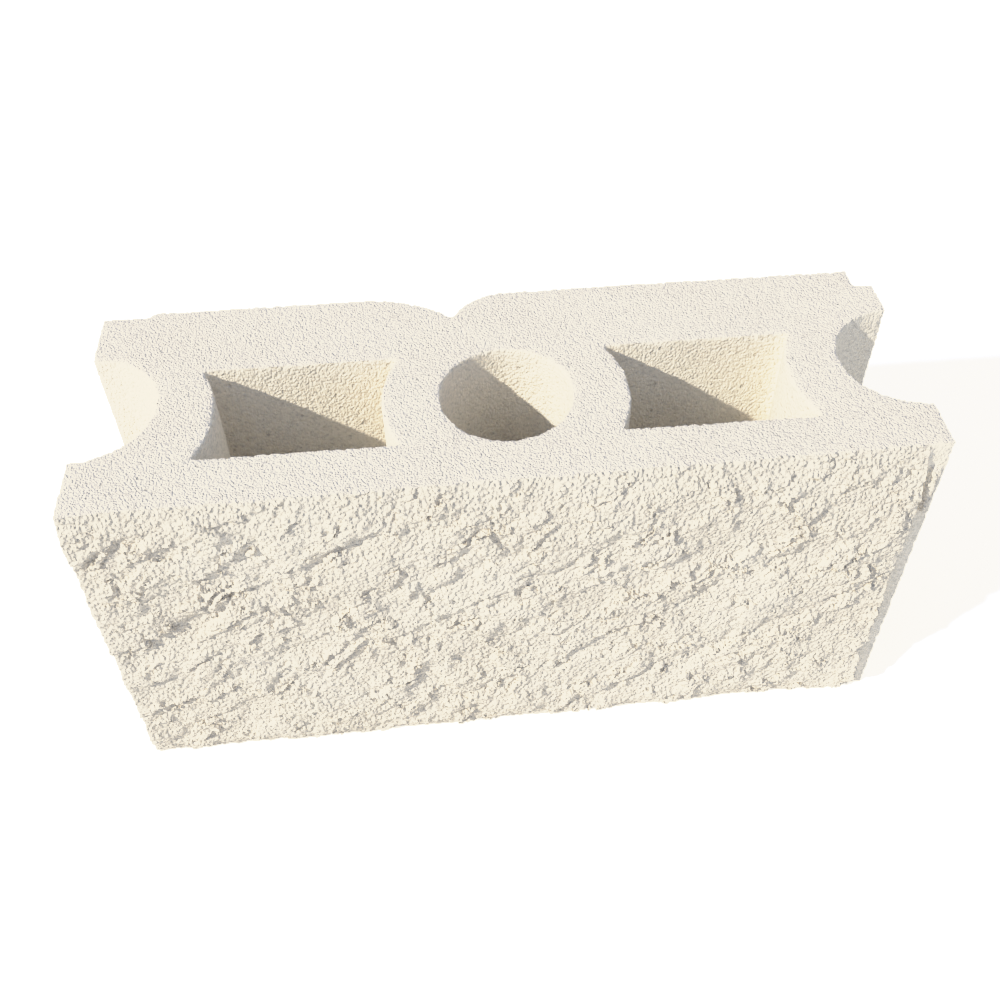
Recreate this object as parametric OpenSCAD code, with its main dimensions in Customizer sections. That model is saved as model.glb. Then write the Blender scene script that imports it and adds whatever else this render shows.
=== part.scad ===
// Hollow concrete building block with a split face.
// Cast in one piece: two open cores, a round hole between them, a half-round
// recess in each end, a groove in the rear face and a rough split front.
// The block lies on its bed: +X along its length, +Y to the rear, +Z up.
// Origin: middle of the box round the block, on the bottom bed. Millimetres.

/* [Block] */
// Length over the two ends
block_l = 390; // [360:1:440]
// Depth from the rear face to the highest lump of the split face
block_d = 140; // [135:1:190]
// Height between the bottom and top beds
block_h = 190; // [90:1:240]

/* [Cores and hole] */
// Thickness of the front shell, from the corner strip to the cores
front_shell = 23; // [20:0.5:35]
// Depth of the cores, front to rear
core_d = 59; // [40:0.5:66]
// Diameter of the round hole in the middle
hole_d = 62; // [40:0.5:70]
// Thickness of the webs round the hole and round the end recesses
web = 27; // [20:0.5:32]

/* [Ends] */
// Radius of the half-round recess in each end
recess_r = 34; // [20:0.5:36]
// Width of the rear ear, from the rear face to the recess
rear_ear = 34.5; // [30:0.5:40]
// Width of the moulded strip at the right of the split face
strip_w = 10.5; // [5:0.5:20]
// Width of the notch in the rear right corner
corner_notch_w = 9.5; // [4:0.5:15]
// Depth of the notch in the rear right corner
corner_notch_d = 12.5; // [4:0.5:20]

/* [Rear face] */
// Distance of the groove's root to the left of the middle
groove_x = 22; // [0:1:40]
// Depth of the groove at its root
groove_d = 18; // [8:0.5:22]
// Reach of the groove's long shoulder, on the left
groove_left = 46; // [25:1:60]
// Reach of the groove's short shoulder, on the right
groove_right = 30; // [22:1:60]
// Length of the shallow rebate at the rear left corner
rebate_l = 26; // [15:1:40]
// Depth of that rebate
rebate_d = 3; // [1:0.5:8]

/* [Split face] */
// Height of the highest ledge above the corner strip
split_rise = 11; // [7:0.5:16]
// Height of the top arris above the strip, in the middle of the block
top_rise = 3.5; // [3:0.5:6]
// Height of the bottom arris above the strip, in the middle of the block
foot_rise = 3.2; // [3:0.1:6]
// Width of the band where the face falls back to the top arris
top_fall = 30; // [10:1:60]
// Width of the band where the face falls back to the bottom arris
foot_fall = 20; // [10:1:60]
// Slant of the ledges, climbing to the right
ledge_slant = 30; // [20:1:45]
// Distance between ledges
ledge_gap = 26; // [18:1:40]
// Greatest drop at the lower side of a ledge
ledge_drop = 3.6; // [1:0.1:5]
// Distance between the breaks across the ledges
break_gap = 43; // [30:1:70]
// Greatest drop at a break
break_drop = 2.2; // [1:0.1:5]
// Turn of the whole face, which stands out more at its left end
face_turn = 0.8; // [0:0.1:0.8]

/* [Hidden] */
$fn = 96;

// Vertical planes of the plan, front to rear
rear_y = block_d / 2;
strip_y = split_rise - block_d / 2;
core_front_y = strip_y + front_shell;
core_mid_y = core_front_y + core_d / 2;
recess_y = rear_y - rear_ear - recess_r;
end_x = block_l / 2;
hole_r = hole_d / 2;

// Cuts run past the faces by this much
past = 5;
// The split layer reaches this far into the front shell, so the two are one
split_root = 6;
// Crown of the groove's shoulders past the rear face, so they meet it at an angle
shoulder_crown = 0.4;

// Run of a ledge's steep side
drop_run = 2.5;
// Breaks run down to the right, steeply
break_slant = -58;
// Turns that spread the steps unevenly, in degrees a step
ledge_turn = 83;
break_turn = 131;
// Share of a step's place and height that is uneven
place_share = 0.4;
crest_share = 0.3;
// The face swells between an arris and its full height: share of the rise and of the run
swell_rise = 0.65;
swell_run = 0.45;

// Radius of an arc that runs from a root of depth d to level ground at reach w
function shoulder_r(w, d) = (w * w + d * d) / (2 * d);

split_l = block_l - strip_w;
// Reach of a slanting profile, past every corner of the face
face_reach = block_l / 2 + block_h;

// Uneven run of numbers from 0 to 1 for step k
function uneven(k, turn) = (1 + sin(turn * k)) / 2;

// Places of the steps of a slanting profile
function step_places(gap, turn) = let (n = ceil(face_reach / gap))
    [for (k = [-n:n]) gap * (k + place_share * uneven(k, turn))];

module core(side) {
    difference() {
        translate([side > 0 ? 0 : -end_x, core_front_y])
            square([end_x, core_d]);
        translate([0, core_mid_y])
            circle(r = hole_r + web);
        translate([side * end_x, core_mid_y])
            circle(r = recess_r + web);
    }
}

// Vertical groove with one long and one short rounded shoulder
module rear_groove() {
    left_r = shoulder_r(groove_left, groove_d + shoulder_crown);
    right_r = shoulder_r(groove_right, groove_d + shoulder_crown);
    difference() {
        translate([-groove_x - groove_left, rear_y - groove_d - past])
            square([groove_left + groove_right, groove_d + 2 * past]);
        translate([-groove_x - groove_left, rear_y + shoulder_crown - left_r])
            circle(r = left_r);
        translate([-groove_x + groove_right, rear_y + shoulder_crown - right_r])
            circle(r = right_r);
    }
}

module corner_notch() {
    translate([end_x - corner_notch_w, rear_y - corner_notch_d])
        square([corner_notch_w + past, corner_notch_d + past]);
}

// Shallow step with a sloping end
module corner_rebate() {
    polygon([
        [-end_x - past, rear_y - rebate_d],
        [-end_x + rebate_l - 2 * rebate_d, rear_y - rebate_d],
        [-end_x + rebate_l, rear_y],
        [-end_x + rebate_l, rear_y + past],
        [-end_x - past, rear_y + past]
    ]);
}

module plan() {
    difference() {
        translate([-end_x, strip_y])
            square([block_l, rear_y - strip_y]);
        for (side = [-1, 1]) {
            core(side);
            translate([side * end_x, recess_y])
                circle(r = recess_r);
        }
        translate([0, core_mid_y])
            circle(r = hole_r);
        rear_groove();
        corner_notch();
        corner_rebate();
    }
}

// Steps across the face: each climbs slowly and drops off on its lower side
module stepped_layer(slant, gap, drop, turn) {
    places = step_places(gap, turn);
    steps = [for (k = [0:len(places) - 2]) each [
        [places[k], split_rise - drop * uneven(k, 2 * turn)],
        [places[k + 1] - drop_run, split_rise + drop * crest_share * (0.5 - uneven(k, 3 * turn))]
    ]];
    first = steps[0];
    last = steps[len(steps) - 1];
    rotate([0, 90 - slant, 0])
        rotate([180, 0, 0])
            linear_extrude(height = 2 * face_reach, center = true)
                polygon(concat([[first[0], -split_root]], steps, [[last[0], -split_root]]));
}

// Upright section of the broken layer, falling back to both arrises
module section_layer() {
    foot_swell = foot_rise + swell_rise * (split_rise - foot_rise);
    top_swell = top_rise + swell_rise * (split_rise - top_rise);
    rotate([0, 0, face_turn])
        rotate([90, 0, -90])
            linear_extrude(height = 2 * block_l, center = true)
                polygon([
                    [-split_root, 0],
                    [foot_rise, 0],
                    [foot_swell, swell_run * foot_fall],
                    [split_rise, foot_fall],
                    [split_rise, block_h - top_fall],
                    [top_swell, block_h - swell_run * top_fall],
                    [top_rise, block_h],
                    [-split_root, block_h]
                ]);
}

// Broken front of the block: the part that the ledges, the breaks and the arrises leave
module split_face() {
    translate([0, strip_y, 0])
        intersection() {
            translate([-end_x, -split_rise, 0])
                cube([split_l, split_rise + split_root / 2, block_h]);
            translate([0, 0, block_h / 2])
                stepped_layer(ledge_slant, ledge_gap, ledge_drop, ledge_turn);
            translate([0, 0, block_h / 2])
                stepped_layer(break_slant, break_gap, break_drop, break_turn);
            section_layer();
        }
}

module block() {
    color([0.94, 0.91, 0.84]) union() {
        linear_extrude(height = block_h)
            plan();
        split_face();
    }
}

block();
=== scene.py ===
import math

import bmesh
import bpy
import numpy as np
from mathutils import Matrix, Vector


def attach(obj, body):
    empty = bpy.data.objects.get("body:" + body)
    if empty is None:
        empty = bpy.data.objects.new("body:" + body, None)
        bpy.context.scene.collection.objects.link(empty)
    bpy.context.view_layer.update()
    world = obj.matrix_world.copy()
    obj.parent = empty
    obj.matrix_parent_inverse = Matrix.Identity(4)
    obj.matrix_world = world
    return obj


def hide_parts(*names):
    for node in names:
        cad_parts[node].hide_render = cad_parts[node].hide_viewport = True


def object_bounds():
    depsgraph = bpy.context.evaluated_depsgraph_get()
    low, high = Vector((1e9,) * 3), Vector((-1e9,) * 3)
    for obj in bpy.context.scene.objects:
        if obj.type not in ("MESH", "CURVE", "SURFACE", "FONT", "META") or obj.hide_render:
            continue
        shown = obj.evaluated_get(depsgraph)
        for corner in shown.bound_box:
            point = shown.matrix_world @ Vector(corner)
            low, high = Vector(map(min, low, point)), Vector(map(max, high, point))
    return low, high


# Looks of a hollow concrete block with a split face. Metres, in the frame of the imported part.

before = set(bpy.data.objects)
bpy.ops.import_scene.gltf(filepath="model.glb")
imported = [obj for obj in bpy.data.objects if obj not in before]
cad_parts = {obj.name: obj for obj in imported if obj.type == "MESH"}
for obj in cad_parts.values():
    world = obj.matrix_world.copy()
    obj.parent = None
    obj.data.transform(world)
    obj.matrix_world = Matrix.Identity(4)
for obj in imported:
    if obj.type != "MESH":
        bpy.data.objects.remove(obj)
cad_low, cad_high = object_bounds()

MM = 0.001
WHITE = (1.0, 1.0, 1.0, 1.0)

# Camera, as fitted to the block's 390 by 190 mm face in a 1000 by 1000 picture
PICTURE = 1000
FOCAL_PIXELS = 1095.2
CENTRE_PIXEL = (515.8, 463.9)
CAMERA_PLACE = Vector((-31.25, -383.3, 531.6)) * MM
CAMERA_DOWN = math.radians(45.82)
CAMERA_TURN = math.radians(5.38)
CAMERA_ROLL = math.radians(-0.25)
SENSOR = 36.0

# Sun, from the shadow lines in the cores: it stands in front of the block, to the left
SUN_BEARING = math.radians(28.4)
SUN_HEIGHT = math.radians(33.0)
SUN_POWER = 4.5
SUN_COLOUR = (1.0, 0.96, 0.85)
SUN_SOFTNESS = math.radians(1.5)
SKY_POWER = 0.57
SKY_COLOUR = (0.88, 0.98, 1.2, 1.0)
FLOOR_SIZE = 30.0
FLOOR_TONE = 0.84
FLOOR_GLOW = 1.6
# The cores lie within these widths, from the ends and from the front and rear of the block's box
END_WIDTH = 45.0 * MM
SHELL_WIDTH = 20.0 * MM

# Picture tones: scene light that shows as white, and points of the curves below it, as light and tone.
# Lit concrete ends in a cream white, as in the photograph; only the surround goes on to full white.
TONE_WHITE = 2.4
RED_TONES = (
    (0.1, 0.113), (0.2, 0.22), (0.4, 0.405), (0.6, 0.6),
    (0.8, 0.785), (1.0, 0.885), (1.25, 0.92), (1.6, 0.935),
)
GREEN_TONES = (
    (0.1, 0.117), (0.2, 0.225), (0.4, 0.407), (0.6, 0.6),
    (0.8, 0.772), (1.0, 0.855), (1.25, 0.88), (1.6, 0.895),
)
BLUE_TONES = (
    (0.1, 0.127), (0.2, 0.234), (0.4, 0.41), (0.5, 0.505),
    (0.65, 0.638), (0.8, 0.725), (1.0, 0.765), (1.6, 0.79),
)

# Mesh: cell of the cast surface, the triangles kept in all and on the plain moulded faces,
# the value from which a point belongs to the dense part, and the angle of a sharp edge
CELL = 1.0 * MM
MOST_TRIANGLES = 196000
MOULDED_TRIANGLES = 42000
DENSE_FROM = 0.05
SHARP_ANGLE = math.radians(42)

# Split face: plane of the moulded strip, depth behind it in which the relief dies out,
# width of the strip and half the width of the seam between the two
STRIP_Y = cad_low.y + 11.0 * MM
FADE_DEPTH = 14.0 * MM
STRIP_WIDTH = 10.5 * MM
SEAM = 1.5 * MM

# Forms of the split face, in number a metre, and how far they are drawn out along the ledges
LEDGE_WANDERS = 38.0
LEDGE_RUNS = 58.0
LUMPS = 95.0
HOLLOWS = 75.0
SWELLS = 22.0
SWAYS = 42.0
GRAINS = 380.0
CRUMBS = 520.0
DRAWN_OUT = (0.47, 0.0, 1.0)
LESS_DRAWN = (0.75, 0.0, 1.0)
# Ledge gaps that a ledge wanders across, and the share of a gap in which a ledge rises
WANDER_GAPS = 7.0
CLIMB_SHARE = 0.09
# The relief is calmer, and the sway gone, within these widths of the face's edges
CALM_SIDE = 10.0 * MM
CALM_TOP = 16.0 * MM
SWAY_EDGE = 12.0 * MM

# Rough piece left standing on the strip: its edges from the top and from the right end, how ragged
# they are, the ragged places a metre, and its height
PIECE_TOP = 14.0 * MM
PIECE_FOOT = 46.0 * MM
PIECE_LEFT = 8.0 * MM
PIECE_RIGHT = 0.5 * MM
PIECE_RAGGED = 5.0 * MM
PIECE_RAGS = 160.0
PIECE_HEIGHT = 3.4 * MM

# Arris wear: rounds of smoothing, worn patches and small bites a metre, the least way to the smoothed
# surface that marks an arris, and the depth of the arris at the top bed
WEAR_ROUNDS = 5
WEAR_PATCHES = 150.0
WEAR_BITES = 420.0
ARRIS_MARK = 0.06 * MM
ARRIS_DEPTH = 3.0 * MM


# Nodes


def make(tree, kind, inputs=None, **settings):
    """Adds a node. inputs maps a socket's name or number to a value or to an output socket."""
    node = tree.nodes.new(kind)
    for name, value in settings.items():
        setattr(node, name, value)
    for key, value in (inputs or {}).items():
        if isinstance(value, bpy.types.NodeSocket):
            tree.links.new(value, node.inputs[key])
        else:
            node.inputs[key].default_value = value
    return node


def calc(tree, operation, *values):
    """Output of a Math node on up to three values."""
    return make(tree, "ShaderNodeMath", dict(enumerate(values)), operation=operation).outputs[0]


def product(tree, first, *others):
    """Values multiplied together."""
    total = first
    for value in others:
        total = calc(tree, "MULTIPLY", total, value)
    return total


def vector_calc(tree, operation, *values):
    """Output of a Vector Math node; a length comes from its second socket."""
    node = make(tree, "ShaderNodeVectorMath", dict(enumerate(values)), operation=operation)
    return node.outputs["Value"] if operation == "LENGTH" else node.outputs["Vector"]


def scaled(tree, vector, factor):
    """Vector made longer or shorter by a factor."""
    return make(tree, "ShaderNodeVectorMath", {0: vector, "Scale": factor}, operation="SCALE").outputs[0]


def axes(tree, vector):
    """The three parts of a vector."""
    return make(tree, "ShaderNodeSeparateXYZ", {0: vector}).outputs


def ramp(tree, value, low, high, to_low=0.0, to_high=1.0, soft=True):
    """Value carried from one range to another, with soft ends unless told otherwise."""
    inputs = {"Value": value, "From Min": low, "From Max": high, "To Min": to_low, "To Max": to_high}
    kind = "SMOOTHSTEP" if soft else "LINEAR"
    return make(tree, "ShaderNodeMapRange", inputs, interpolation_type=kind, clamp=True).outputs["Result"]


def noise(tree, place, scale, detail=2.0, roughness=0.5, output=0):
    """Noise of about that many lumps a metre, from 0 to 1; its second output is a colour."""
    inputs = {"Vector": place, "Scale": scale, "Detail": detail, "Roughness": roughness}
    return make(tree, "ShaderNodeTexNoise", inputs).outputs[output]


def cells(tree, place, scale, feature="F1", output="Distance"):
    """Cell pattern of about that many cells a metre."""
    inputs = {"Vector": place, "Scale": scale}
    return make(tree, "ShaderNodeTexVoronoi", inputs, feature=feature).outputs[output]


def blend(tree, factor, first, second, kind="MIX"):
    """Mix of two colours; each is a colour or an output socket."""
    inputs = {0: factor, 6: first, 7: second}
    return make(tree, "ShaderNodeMix", inputs, data_type="RGBA", blend_type=kind).outputs[2]


def new_group(name, kind, inputs, outputs):
    """Empty node group with named sockets, given as (name, socket type, default)."""
    tree = bpy.data.node_groups.new(name, kind)
    for title, socket, default in inputs:
        item = tree.interface.new_socket(title, in_out="INPUT", socket_type=socket)
        if default is not None:
            item.default_value = default
    for title, socket in outputs:
        tree.interface.new_socket(title, in_out="OUTPUT", socket_type=socket)
    return tree, tree.nodes.new("NodeGroupInput"), tree.nodes.new("NodeGroupOutput")


# Concrete


def sand_group():
    """Sand grains bound in cement: a height for bump, and a tone of its own for each grain."""
    tree, given, out = new_group(
        "sand_grain",
        "ShaderNodeTree",
        [("Place", "NodeSocketVector", None), ("Grains a metre", "NodeSocketFloat", 800.0)],
        [("Height", "NodeSocketFloat"), ("Tone", "NodeSocketFloat")],
    )
    place, scale = given.outputs[:2]
    round_grain = cells(tree, place, scale, feature="SMOOTH_F1")
    single = cells(tree, place, scale, output="Color")
    fine = noise(tree, place, calc(tree, "MULTIPLY", scale, 2.3))
    grain = calc(tree, "SUBTRACT", 1.0, calc(tree, "MULTIPLY", round_grain, 1.3))
    tree.links.new(calc(tree, "MULTIPLY_ADD", fine, 0.5, grain), out.inputs["Height"])
    tree.links.new(make(tree, "ShaderNodeSeparateColor", {0: single}).outputs[0], out.inputs["Tone"])
    return tree


def pore_group():
    """Small open pores between the grains: a mask of the pores, which also sets a painted shade in them,
    and a height that drops into them.
    """
    tree, given, out = new_group(
        "open_pores",
        "ShaderNodeTree",
        [
            ("Place", "NodeSocketVector", None),
            ("Pores a metre", "NodeSocketFloat", 260.0),
            ("Share", "NodeSocketFloat", 0.3),
        ],
        [("Mask", "NodeSocketFloat"), ("Height", "NodeSocketFloat")],
    )
    place, scale, share = given.outputs[:3]
    bent = noise(tree, place, calc(tree, "MULTIPLY", scale, 1.7), 1.0)
    reach = calc(tree, "MULTIPLY_ADD", bent, 0.25, cells(tree, place, scale))
    single = cells(tree, place, scale, output="Color")
    pick = make(tree, "ShaderNodeSeparateColor", {0: single}).outputs[1]
    chosen = calc(tree, "LESS_THAN", pick, share)
    mask = calc(tree, "MULTIPLY", ramp(tree, reach, 0.42, 0.25), chosen)
    tree.links.new(mask, out.inputs["Mask"])
    tree.links.new(calc(tree, "SUBTRACT", 1.0, mask), out.inputs["Height"])
    return tree


def mottle_group():
    """Slow change of tone over a face, from damp and cement, from 0 to 1."""
    tree, given, out = new_group(
        "cement_mottle",
        "ShaderNodeTree",
        [("Place", "NodeSocketVector", None), ("Patches a metre", "NodeSocketFloat", 14.0)],
        [("Factor", "NodeSocketFloat")],
    )
    place, scale = given.outputs[:2]
    broad = noise(tree, place, scale, 4.0, 0.6)
    tree.links.new(ramp(tree, broad, 0.3, 0.7), out.inputs["Factor"])
    return tree


def rgb(*picked):
    """Linear colour from the 0 to 255 values of a colour picker."""
    shown = [value / 255.0 for value in picked]
    linear = [v / 12.92 if v <= 0.04045 else ((v + 0.055) / 1.055) ** 2.4 for v in shown]
    return (*linear, 1.0)


def concrete(name, light, dark, pore_shade, grains, pores, pore_share, dark_grain, dark_share, bump, drag=1.0):
    """Concrete with sand grains, pores darkened by a painted shade, and slow mottling. drag stretches the
    grain along the mould.
    """
    material = bpy.data.materials.new(name)
    material.use_nodes = True
    tree = material.node_tree
    shader = tree.nodes["Principled BSDF"]
    shader.inputs["Specular IOR Level"].default_value = 0.15
    place = tree.nodes.new("ShaderNodeTexCoord").outputs["Object"]
    along = make(tree, "ShaderNodeMapping", {"Vector": place, "Scale": (1.0, 1.0, 1.0 / drag)}).outputs[0]

    sand_inputs = {"Place": along, "Grains a metre": grains}
    sand = make(tree, "ShaderNodeGroup", sand_inputs, node_tree=groups["sand"]).outputs
    pore_inputs = {"Place": along, "Pores a metre": pores, "Share": pore_share}
    pit = make(tree, "ShaderNodeGroup", pore_inputs, node_tree=groups["pore_shade"]).outputs
    mottle_inputs = {"Place": place, "Patches a metre": 16.0}
    slow = make(tree, "ShaderNodeGroup", mottle_inputs, node_tree=groups["mottle"]).outputs

    base = blend(tree, slow["Factor"], dark, light)
    speck = ramp(tree, sand["Tone"], 0.0, dark_share, dark_grain, 1.0, soft=False)
    speck_colour = make(tree, "ShaderNodeCombineColor", {0: speck, 1: speck, 2: speck}).outputs[0]
    toned = blend(tree, 1.0, base, speck_colour, "MULTIPLY")
    # The pores are coloured towards a darker grey: a painted shade in them.
    colour = blend(tree, calc(tree, "MULTIPLY", pit["Mask"], 0.6), toned, pore_shade)
    tree.links.new(colour, shader.inputs["Base Color"])
    rough = ramp(tree, sand["Tone"], 0.0, 1.0, 0.82, 0.97, soft=False)
    tree.links.new(rough, shader.inputs["Roughness"])
    height = calc(tree, "MULTIPLY_ADD", pit["Height"], 0.8, sand["Height"])
    bumped = make(tree, "ShaderNodeBump", {"Height": height, "Strength": 1.0, "Distance": bump})
    tree.links.new(bumped.outputs[0], shader.inputs["Normal"])
    return material


# Relief of the cast and split surfaces


def arris_shift(tree, place):
    """Way from the surface to a smoothed one: long at an arris, next to nothing on a flat face."""
    inputs = {"Value": place, "Iterations": WEAR_ROUNDS}
    smooth = make(tree, "GeometryNodeBlurAttribute", inputs, data_type="FLOAT_VECTOR").outputs["Value"]
    return vector_calc(tree, "SUBTRACT", smooth, place)


def arris_wear(tree, place, wear):
    """Share of that way that is worn off, more in some patches than in others, with small bites."""
    patches = ramp(tree, noise(tree, place, WEAR_PATCHES, 3.0), 0.35, 0.7, 0.25, 1.6)
    bites = ramp(tree, noise(tree, place, WEAR_BITES), 0.48, 0.66, 0.0, 2.4)
    return calc(tree, "MULTIPLY", calc(tree, "ADD", patches, bites), wear)


def swing(tree, value, height):
    """Noise made to swing as far below nothing as above it."""
    return calc(tree, "MULTIPLY", calc(tree, "SUBTRACT", value, 0.5), height)


def split_rise(tree, place, size):
    """Height of the finer forms over the solid's front. Ledges climb to the right and drop off sharply
    on their lower side; lumps, hollows and a broad swell are drawn out along them."""
    inputs = {"Vector": place, "Axis": (0.0, 1.0, 0.0), "Angle": size["Ledge slant"]}
    turned = make(tree, "ShaderNodeVectorRotate", inputs, rotation_type="AXIS_ANGLE").outputs[0]
    drawn = vector_calc(tree, "MULTIPLY", turned, DRAWN_OUT)
    less_drawn = vector_calc(tree, "MULTIPLY", turned, LESS_DRAWN)
    across = calc(tree, "DIVIDE", axes(tree, turned)["Z"], size["Ledge gap"])
    wander = noise(tree, drawn, LEDGE_WANDERS, 5.0, 0.62)
    part_way = calc(tree, "FRACT", calc(tree, "MULTIPLY_ADD", wander, WANDER_GAPS, across))
    climb = ramp(tree, part_way, 0.0, CLIMB_SHARE, soft=False)
    fall = calc(tree, "SUBTRACT", 1.0, part_way)
    strength = ramp(tree, noise(tree, less_drawn, LEDGE_RUNS), 0.42, 0.6, 0.05, 1.0)
    ledges = product(tree, climb, fall, strength, size["Ledge height"])
    lumps = swing(tree, noise(tree, drawn, LUMPS, 4.0, 0.65), size["Lump height"])
    swells = swing(tree, noise(tree, drawn, SWELLS, 1.0), size["Swell height"])
    hollow = ramp(tree, noise(tree, less_drawn, HOLLOWS, 3.0, 0.6), 0.42, 0.3)
    hollows = calc(tree, "MULTIPLY", hollow, size["Hollow depth"])
    raised = calc(tree, "ADD", calc(tree, "ADD", ledges, lumps), swells)
    return calc(tree, "SUBTRACT", calc(tree, "SUBTRACT", raised, hollows), size["Set back"])


def inside(tree, value, edge, fade, least=0.0):
    """Climbs from its least value at an edge to 1 over a fade, which is negative towards lower values."""
    return ramp(tree, value, edge, edge + fade, least, 1.0)


def calm_edges(tree, x, z):
    """Share of the relief that is left near the face's left, bottom and top edges."""
    left = inside(tree, x, cad_low.x, CALM_SIDE, 0.3)
    foot = inside(tree, z, cad_low.z, CALM_SIDE, 0.4)
    top = inside(tree, z, cad_high.z, -CALM_TOP, 0.4)
    return product(tree, left, foot, top)


def strip_piece(tree, place, x, z):
    """Mask of the rough piece left standing on the strip, below the top corner."""
    ragged = swing(tree, noise(tree, place, PIECE_RAGS, 3.0), PIECE_RAGGED)
    up = calc(tree, "ADD", z, ragged)
    along = calc(tree, "ADD", x, ragged)
    foot = inside(tree, up, cad_high.z - PIECE_FOOT, 3.0 * MM)
    top = inside(tree, up, cad_high.z - PIECE_TOP, -4.0 * MM)
    left = inside(tree, along, cad_high.x - PIECE_LEFT, 2.0 * MM)
    right = inside(tree, x, cad_high.x - PIECE_RIGHT, -3.5 * MM)
    return product(tree, foot, top, left, right)


def ledge_sway(tree, place, x, y, z, reach):
    """Shift within the face that makes the solid's straight ledges sway, away from its edges."""
    foot = inside(tree, z, cad_low.z, SWAY_EDGE)
    top = inside(tree, z, cad_high.z, -SWAY_EDGE)
    left = inside(tree, x, cad_low.x, SWAY_EDGE)
    right = inside(tree, x, cad_high.x - SWAY_EDGE, -10.0 * MM)
    front = inside(tree, y, STRIP_Y + 2.0 * MM, -2.0 * MM)
    colour = noise(tree, place, SWAYS, 4.0, 0.6, output="Color")
    shift = vector_calc(tree, "SUBTRACT", colour, (0.5, 0.5, 0.5))
    flat = vector_calc(tree, "MULTIPLY", shift, (1.0, 0.0, 1.0))
    return scaled(tree, flat, product(tree, foot, top, left, right, front, reach))


def grain_height(tree, place):
    """Rounded grains with crumbs on them, as far below nothing as above it."""
    reach = cells(tree, place, GRAINS)
    pebbles = ramp(tree, calc(tree, "MULTIPLY", reach, reach), 0.0, 0.5, 0.6, -0.6, soft=False)
    crumbs = calc(tree, "SUBTRACT", noise(tree, place, CRUMBS), 0.5)
    return calc(tree, "MULTIPLY_ADD", crumbs, 1.6, pebbles)


def moved(tree, geometry, offset):
    """Geometry with its points moved."""
    return make(tree, "GeometryNodeSetPosition", {"Geometry": geometry, "Offset": offset}).outputs[0]


def stored(tree, geometry, name, value):
    """Geometry that keeps a value of each point under a name."""
    inputs = {"Geometry": geometry, "Name": name, "Value": value}
    node = make(tree, "GeometryNodeStoreNamedAttribute", inputs, data_type="FLOAT", domain="POINT")
    return node.outputs[0]


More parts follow.
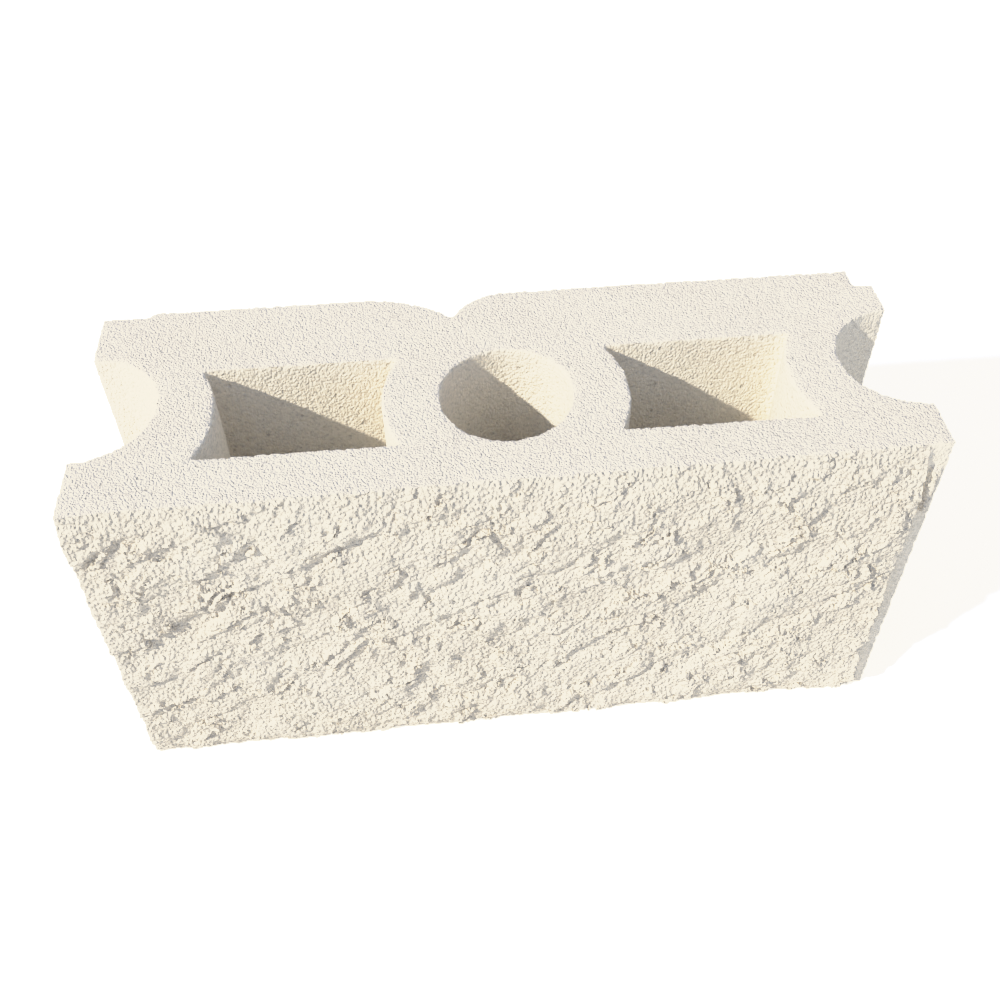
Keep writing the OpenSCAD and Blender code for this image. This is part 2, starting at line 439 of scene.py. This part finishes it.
def relief_tree(wall, bed, split):
    """Geometry tree that wears the arrises, breaks the front, grains every face and paints them all."""
    tree, given, out = new_group(
        "split_relief",
        "GeometryNodeTree",
        [
            ("Geometry", "NodeSocketGeometry", None),
            ("Ledge height", "NodeSocketFloat", 3.7 * MM),
            ("Ledge gap", "NodeSocketFloat", 22.0 * MM),
            ("Ledge sway", "NodeSocketFloat", 19.0 * MM),
            ("Ledge slant", "NodeSocketFloat", math.radians(30)),
            ("Lump height", "NodeSocketFloat", 3.0 * MM),
            ("Hollow depth", "NodeSocketFloat", 1.5 * MM),
            ("Swell height", "NodeSocketFloat", 6.0 * MM),
            ("Set back", "NodeSocketFloat", 1.3 * MM),
            ("Split grain", "NodeSocketFloat", 0.55 * MM),
            ("Cast grain", "NodeSocketFloat", 0.16 * MM),
            ("Arris wear", "NodeSocketFloat", 0.5),
            ("Box low", "NodeSocketVector", None),
            ("Box high", "NodeSocketVector", None),
        ],
        [("Geometry", "NodeSocketGeometry")],
    )
    size = given.outputs
    place = tree.nodes.new("GeometryNodeInputPosition").outputs[0]
    normal = tree.nodes.new("GeometryNodeInputNormal").outputs[0]
    x, y, z = axes(tree, place)

    shift = arris_shift(tree, place)
    worn = moved(tree, size["Geometry"], scaled(tree, shift, arris_wear(tree, place, size["Arris wear"])))

    # The split face is what looks to the front, left of the strip or on the piece that stands on it
    seam_x = cad_high.x - STRIP_WIDTH
    off_strip = inside(tree, x, seam_x + SEAM, -2.0 * SEAM)
    piece = strip_piece(tree, place, x, z)
    facing = calc(tree, "MULTIPLY", axes(tree, normal)["Y"], -1.0)
    ahead = calc(tree, "LESS_THAN", y, STRIP_Y + 3.0 * MM)
    broken_here = calc(tree, "MAXIMUM", off_strip, piece)
    on_face = product(tree, ramp(tree, facing, 0.2, 0.55), ahead, broken_here)
    arris = calc(tree, "GREATER_THAN", vector_calc(tree, "LENGTH", shift), ARRIS_MARK)
    top_arris = calc(tree, "MULTIPLY", arris, calc(tree, "GREATER_THAN", z, cad_high.z - ARRIS_DEPTH))
    marked = stored(tree, worn, "dense", calc(tree, "MAXIMUM", on_face, top_arris))
    marked = stored(tree, marked, "split", on_face)
    mark = make(tree, "GeometryNodeInputNamedAttribute", {"Name": "split"}, data_type="FLOAT")
    split_mask = mark.outputs[0]

    # The face is pushed forward by its relief, and its ledges sway
    near = inside(tree, y, STRIP_Y + FADE_DEPTH, -FADE_DEPTH - 1.0 * MM)
    relief = product(tree, split_rise(tree, place, size), near, off_strip, calm_edges(tree, x, z))
    push = calc(tree, "ADD", relief, product(tree, piece, near, PIECE_HEIGHT))
    forward = make(tree, "ShaderNodeCombineXYZ", {"Y": calc(tree, "MULTIPLY", push, -1.0)}).outputs[0]
    sway = ledge_sway(tree, place, x, y, z, size["Ledge sway"])
    broken = moved(tree, marked, vector_calc(tree, "ADD", forward, sway))

    # Grain stands out along the surface, and nothing stands out of the block's box
    sizes = {0: split_mask, 2: size["Cast grain"], 3: size["Split grain"]}
    grain_size = make(tree, "ShaderNodeMix", sizes, data_type="FLOAT").outputs[0]
    grain = calc(tree, "MULTIPLY", grain_height(tree, place), grain_size)
    grained = moved(tree, broken, scaled(tree, normal, grain))
    held = vector_calc(tree, "MAXIMUM", place, size["Box low"])
    held = vector_calc(tree, "MINIMUM", held, size["Box high"])
    boxed = make(tree, "GeometryNodeSetPosition", {"Geometry": grained, "Position": held}).outputs[0]

    # Beds look up and down, the split face was marked, and the moulded walls are the rest
    whole = make(tree, "GeometryNodeRealizeInstances", {"Geometry": boxed}).outputs[0]
    upright = calc(tree, "ABSOLUTE", axes(tree, normal)["Z"])
    is_bed = calc(tree, "GREATER_THAN", upright, 0.7)
    is_split = calc(tree, "GREATER_THAN", split_mask, 0.5)
    for material, chosen in ((wall, True), (bed, is_bed), (split, is_split)):
        inputs = {"Geometry": whole, "Material": material, "Selection": chosen}
        whole = make(tree, "GeometryNodeSetMaterial", inputs).outputs[0]
    tree.links.new(whole, out.inputs[0])
    return tree


def set_input(modifier, name, value):
    """Sets a modifier's input by the identifier of the socket with that name."""
    for item in modifier.node_group.interface.items_tree:
        if item.item_type == "SOCKET" and item.in_out == "INPUT" and item.name == name:
            modifier[item.identifier] = value
            return
    raise KeyError(name)


# Block


def merged_solid():
    """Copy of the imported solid's mesh with its loose triangles joined."""
    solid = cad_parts["block"].data.copy()
    soup = bmesh.new()
    soup.from_mesh(solid)
    bmesh.ops.remove_doubles(soup, verts=soup.verts, dist=0.01 * MM)
    soup.to_mesh(solid)
    soup.free()
    solid.materials.clear()
    return solid


def finished_mesh(thing):
    """Plain mesh of an object with its modifiers applied."""
    evaluated = thing.evaluated_get(bpy.context.evaluated_depsgraph_get())
    return bpy.data.meshes.new_from_object(evaluated)


def read_values(mesh, name):
    """Values of a named number of each vertex."""
    values = np.zeros(len(mesh.vertices), dtype=np.float32)
    mesh.attributes[name].data.foreach_get("value", values)
    return values


def thin_mesh(thing, chosen, most):
    """Thins an object's mesh to that many triangles, at the chosen vertices only."""
    triangles = sum(len(polygon.vertices) - 2 for polygon in thing.data.polygons)
    group = thing.vertex_groups.new(name="thinned")
    group.add(np.flatnonzero(chosen).tolist(), 1.0, "REPLACE")
    thin = thing.modifiers.new("thin", "DECIMATE")
    thin.ratio = min(1.0, most / triangles)
    thin.vertex_group = group.name
    mesh = finished_mesh(thing)
    thing.modifiers.clear()
    thing.vertex_groups.clear()
    thing.data = mesh


def hold_in_box(mesh):
    """Brings vertices that thinning has pushed out back to the block's box."""
    points = np.zeros(3 * len(mesh.vertices), dtype=np.float32)
    mesh.vertices.foreach_get("co", points)
    held = np.clip(points.reshape(-1, 3), np.array(cad_low), np.array(cad_high))
    mesh.vertices.foreach_set("co", held.ravel())
    mesh.update()


def cast_block(wall, bed, split):
    """The block's own mesh: the solid's surface in even cells, worn, split, grained and thinned."""
    rough = bpy.data.objects.new("rough_block", merged_solid())
    bpy.context.scene.collection.objects.link(rough)
    remesh = rough.modifiers.new("cells", "REMESH")
    remesh.mode = "VOXEL"
    remesh.voxel_size = CELL
    remesh.use_smooth_shade = True
    relief = rough.modifiers.new("relief", "NODES")
    relief.node_group = relief_tree(wall, bed, split)
    set_input(relief, "Box low", cad_low)
    set_input(relief, "Box high", cad_high)
    mesh = finished_mesh(rough)
    bpy.data.objects.remove(rough)
    block = bpy.data.objects.new("cast_block", mesh)
    bpy.context.scene.collection.objects.link(block)

    # The moulded faces are plain, so they are thinned most; the split face keeps its grain
    dense = read_values(mesh, "dense") >= DENSE_FROM
    thin_mesh(block, ~dense, 2 * int(dense.sum()) + MOULDED_TRIANGLES)
    thin_mesh(block, read_values(block.data, "dense") >= DENSE_FROM, MOST_TRIANGLES)
    hold_in_box(block.data)
    for name in ("split", "dense"):
        block.data.attributes.remove(block.data.attributes[name])
    block.data.shade_smooth()
    block.data.set_sharp_from_angle(angle=SHARP_ANGLE)
    return block


# Studio


def make_camera():
    """Camera of the photograph."""
    data = bpy.data.cameras.new("photo_camera")
    data.sensor_width = SENSOR
    data.lens = SENSOR * FOCAL_PIXELS / PICTURE
    data.shift_x = (PICTURE / 2 - CENTRE_PIXEL[0]) / PICTURE
    data.shift_y = (CENTRE_PIXEL[1] - PICTURE / 2) / PICTURE
    data.clip_start = 0.01
    camera = bpy.data.objects.new("photo_camera", data)
    turn = Matrix.Rotation(-CAMERA_TURN, 4, "Z")
    tilt = Matrix.Rotation(math.pi / 2 - CAMERA_DOWN, 4, "X")
    roll = Matrix.Rotation(CAMERA_ROLL, 4, "Z")
    camera.matrix_world = Matrix.Translation(CAMERA_PLACE) @ turn @ tilt @ roll
    bpy.context.scene.collection.objects.link(camera)
    bpy.context.scene.camera = camera


def make_floor():
    """Pale floor. The camera sees it near white round the block, as if lit from within, and as it is
    inside the cores; the block gets only a soft bounce from it."""
    bpy.ops.mesh.primitive_plane_add(size=FLOOR_SIZE, location=(0.0, 0.0, cad_low.z))
    floor = bpy.context.object
    floor.name = "floor"
    material = bpy.data.materials.new("pale_floor")
    material.use_nodes = True
    tree = material.node_tree
    shader = tree.nodes["Principled BSDF"]
    shader.inputs["Base Color"].default_value = (FLOOR_TONE, FLOOR_TONE, FLOOR_TONE, 1.0)
    shader.inputs["Roughness"].default_value = 1.0
    shader.inputs["Specular IOR Level"].default_value = 0.0
    shader.inputs["Emission Color"].default_value = WHITE
    x, y = axes(tree, tree.nodes.new("ShaderNodeTexCoord").outputs["Object"])[:2]
    past_ends = calc(tree, "GREATER_THAN", calc(tree, "ABSOLUTE", x), cad_high.x - END_WIDTH)
    past_shells = calc(tree, "GREATER_THAN", calc(tree, "ABSOLUTE", y), cad_high.y - SHELL_WIDTH)
    round_cores = calc(tree, "MAXIMUM", past_ends, past_shells)
    seen = tree.nodes.new("ShaderNodeLightPath").outputs["Is Camera Ray"]
    tree.links.new(product(tree, seen, round_cores, FLOOR_GLOW), shader.inputs["Emission Strength"])
    floor.data.materials.append(material)


def make_lights():
    """Sun, and a sky that the camera sees as white."""
    data = bpy.data.lights.new("key", "SUN")
    data.energy = SUN_POWER
    data.angle = SUN_SOFTNESS
    data.color = SUN_COLOUR
    key = bpy.data.objects.new("key", data)
    travel = Vector((math.cos(SUN_BEARING), math.sin(SUN_BEARING), -math.tan(SUN_HEIGHT)))
    key.rotation_mode = "QUATERNION"
    key.rotation_quaternion = travel.to_track_quat("-Z", "Y")
    bpy.context.scene.collection.objects.link(key)
    world = bpy.data.worlds.new("studio")
    world.use_nodes = True
    tree = world.node_tree
    sky = tree.nodes["Background"]
    seen = tree.nodes.new("ShaderNodeLightPath").outputs["Is Camera Ray"]
    power = ramp(tree, seen, 0.0, 1.0, SKY_POWER, TONE_WHITE, soft=False)
    tree.links.new(blend(tree, seen, SKY_COLOUR, WHITE), sky.inputs["Color"])
    tree.links.new(power, sky.inputs["Strength"])
    bpy.context.scene.world = world


def set_tones():
    """Picture tones: straight up to the light greys, then a soft shoulder, as a camera gives."""
    settings = bpy.context.scene.view_settings
    settings.view_transform = "Standard"
    settings.use_curve_mapping = True
    curves = settings.curve_mapping
    curves.white_level = (TONE_WHITE, TONE_WHITE, TONE_WHITE)
    for curve, tones in zip(curves.curves, (RED_TONES, GREEN_TONES, BLUE_TONES)):
        for light, tone in tones:
            curve.points.new(light / TONE_WHITE, tone)
    curves.update()


make_camera()
groups = {"sand": sand_group(), "pore_shade": pore_group(), "mottle": mottle_group()}
# The walls' cream is a little yellower than the beds': in part a painted warm light, bounced between the
# lit walls.
wall_concrete = concrete(
    "wall_concrete", rgb(247, 239, 223), rgb(241, 231, 213), rgb(196, 188, 174),
    grains=900.0, pores=260.0, pore_share=0.05, dark_grain=0.8, dark_share=0.45, bump=0.68 * MM, drag=1.2,
)
bed_concrete = concrete(
    "bed_concrete", rgb(249, 240, 228), rgb(244, 234, 221), rgb(206, 198, 185),
    grains=1200.0, pores=420.0, pore_share=0.05, dark_grain=0.74, dark_share=0.6, bump=0.74 * MM,
)
split_concrete = concrete(
    "split_concrete", rgb(239, 230, 214), rgb(229, 219, 202), rgb(190, 182, 168),
    grains=580.0, pores=220.0, pore_share=0.02, dark_grain=0.9, dark_share=0.45, bump=1.95 * MM,
)
block = cast_block(wall_concrete, bed_concrete, split_concrete)
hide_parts("block")
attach(block, "root")
make_floor()
make_lights()
set_tones()
